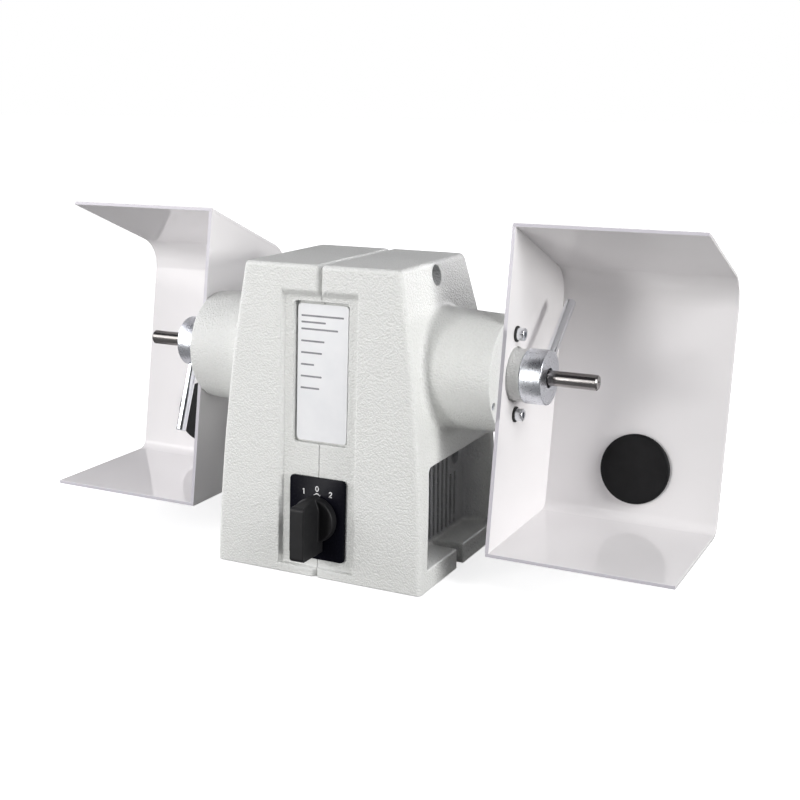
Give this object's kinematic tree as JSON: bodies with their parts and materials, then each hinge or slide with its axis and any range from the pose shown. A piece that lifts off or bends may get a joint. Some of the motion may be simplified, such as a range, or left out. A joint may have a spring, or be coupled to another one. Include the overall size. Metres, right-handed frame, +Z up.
{
  "type": "double-ended bench polishing motor",
  "caption": "Bench polishing motor with a tapered two-part housing, a shaft end on each side, lever ejectors, open sheet guards and a rotary switch.",
  "frame": {"origin": "on the base plane, straight below the middle of the shaft, where the two housing halves meet", "axes": "+X along the shaft to the right, as seen from the switch side; +Y to the back; +Z up"},
  "size_m": [0.569, 0.2152, 0.2838],
  "materials": {
    "housing_paint": "fine textured powder coat",
    "guard_sheet": "glossy opaque white acrylic sheet",
    "bare_steel": "ground",
    "bright_zinc": "turned and bright zinc plated",
    "black_plastic": "satin black",
    "plate_black": "gloss black",
    "plate_white": "smooth white",
    "black_rubber": "matt",
    "copper": "enamelled winding",
    "lamination": "stacked sheet",
    "die_aluminium": "as cast"
  },
  "bodies": {
    "housing": {"right_housing": "housing_paint", "left_housing": "housing_paint", "base_plate": "bare_steel", "base_screws": "bright_zinc", "tie_bolts": "bright_zinc", "tie_nuts": "bright_zinc", "data_plate": "plate_white", "plate_carrier": "black_plastic", "switch_plate": "plate_black", "switch_body": "black_plastic", "switch_screws": "bright_zinc", "right_end_cover": "housing_paint", "left_end_cover": "housing_paint", "right_cover_screws": "bright_zinc", "left_cover_screws": "bright_zinc", "right_shaft_seal": "black_rubber", "left_shaft_seal": "black_rubber", "right_outer_race": "bare_steel", "left_outer_race": "bare_steel", "wave_spring": "bare_steel", "stator_core": "lamination", "stator_winding": "copper", "run_capacitor": "die_aluminium", "capacitor_clamp": "bright_zinc", "terminal_block": "plate_white", "earth_stud": "copper", "wiring_loom": "black_rubber", "cable_gland": "black_plastic", "gland_nut": "black_plastic", "right_guard_shell": "guard_sheet", "left_guard_shell": "guard_sheet", "right_guard_cheek": "guard_sheet", "left_guard_cheek": "guard_sheet", "right_guard_screws": "bright_zinc", "left_guard_screws": "bright_zinc", "right_guard_washers": "black_rubber", "left_guard_washers": "black_rubber"},
    "rotor": {"rotor_shaft": "bare_steel", "rotor_core": "lamination", "rotor_end_rings": "die_aluminium", "cooling_fan": "black_plastic", "right_inner_race": "bare_steel", "left_inner_race": "bare_steel"},
    "right_ball_set": {"right_balls": "bare_steel", "right_cage": "bare_steel"},
    "left_ball_set": {"left_balls": "bare_steel", "left_cage": "bare_steel"},
    "knob": {"switch_knob": "black_plastic", "switch_spindle": "bare_steel"},
    "right_thrust": {"right_thrust_washer": "copper"},
    "left_thrust": {"left_thrust_washer": "copper"},
    "right_ejector": {"right_ejector_collar": "bright_zinc", "right_ejector_lever": "bright_zinc"},
    "left_ejector": {"left_ejector_collar": "bright_zinc", "left_ejector_lever": "bright_zinc"},
    "right_plug": {"right_extraction_plug": "black_plastic"},
    "left_plug": {"left_extraction_plug": "black_plastic"}
  },
  "joints": [
    {"name": "rotor_spin", "type": "hinge", "parent": "housing", "child": "rotor", "pos_m": [0, 0, 0.166], "axis": [1, 0, 0], "continuous": true},
    {"name": "right_balls_roll", "type": "hinge", "parent": "housing", "child": "right_ball_set", "pos_m": [0.1175, 0, 0.166], "axis": [1, 0, 0], "continuous": true},
    {"name": "left_balls_roll", "type": "hinge", "parent": "housing", "child": "left_ball_set", "pos_m": [-0.1175, 0, 0.166], "axis": [1, 0, 0], "continuous": true},
    {"name": "switch_turn", "type": "hinge", "parent": "housing", "child": "knob", "pos_m": [0, -0.07338, 0.04841], "axis": [0, -0.9982, 0.0603], "range_deg": [-30, 30]},
    {"name": "right_ejector_advance", "type": "slide", "parent": "housing", "child": "right_thrust", "axis": [1, 0, 0], "range_m": [0, 0.003]},
    {"name": "right_ejector_turn", "type": "hinge", "parent": "right_thrust", "child": "right_ejector", "pos_m": [0.16, 0, 0.166], "axis": [1, 0, 0], "range_deg": [0, 120]},
    {"name": "left_ejector_advance", "type": "slide", "parent": "housing", "child": "left_thrust", "axis": [-1, 0, 0], "range_m": [0, 0.003]},
    {"name": "left_ejector_turn", "type": "hinge", "parent": "left_thrust", "child": "left_ejector", "pos_m": [-0.16, 0, 0.166], "axis": [-1, 0, 0], "range_deg": [0, 120]},
    {"name": "right_plug_pull", "type": "slide", "parent": "housing", "child": "right_plug", "axis": [0, -0.9847, 0.1745], "range_m": [0, 0.03]},
    {"name": "left_plug_pull", "type": "slide", "parent": "housing", "child": "left_plug", "axis": [0, -0.9847, 0.1745], "range_m": [0, 0.03]}
  ],
  "couplings": [
    {"joint": "right_balls_roll", "follows": "rotor_spin", "ratio": 0.38},
    {"joint": "left_balls_roll", "follows": "rotor_spin", "ratio": 0.38},
    {"joint": "right_ejector_advance", "follows": "right_ejector_turn", "m_per_rad": 0.00143},
    {"joint": "left_ejector_advance", "follows": "left_ejector_turn", "m_per_rad": 0.00143}
  ]
}
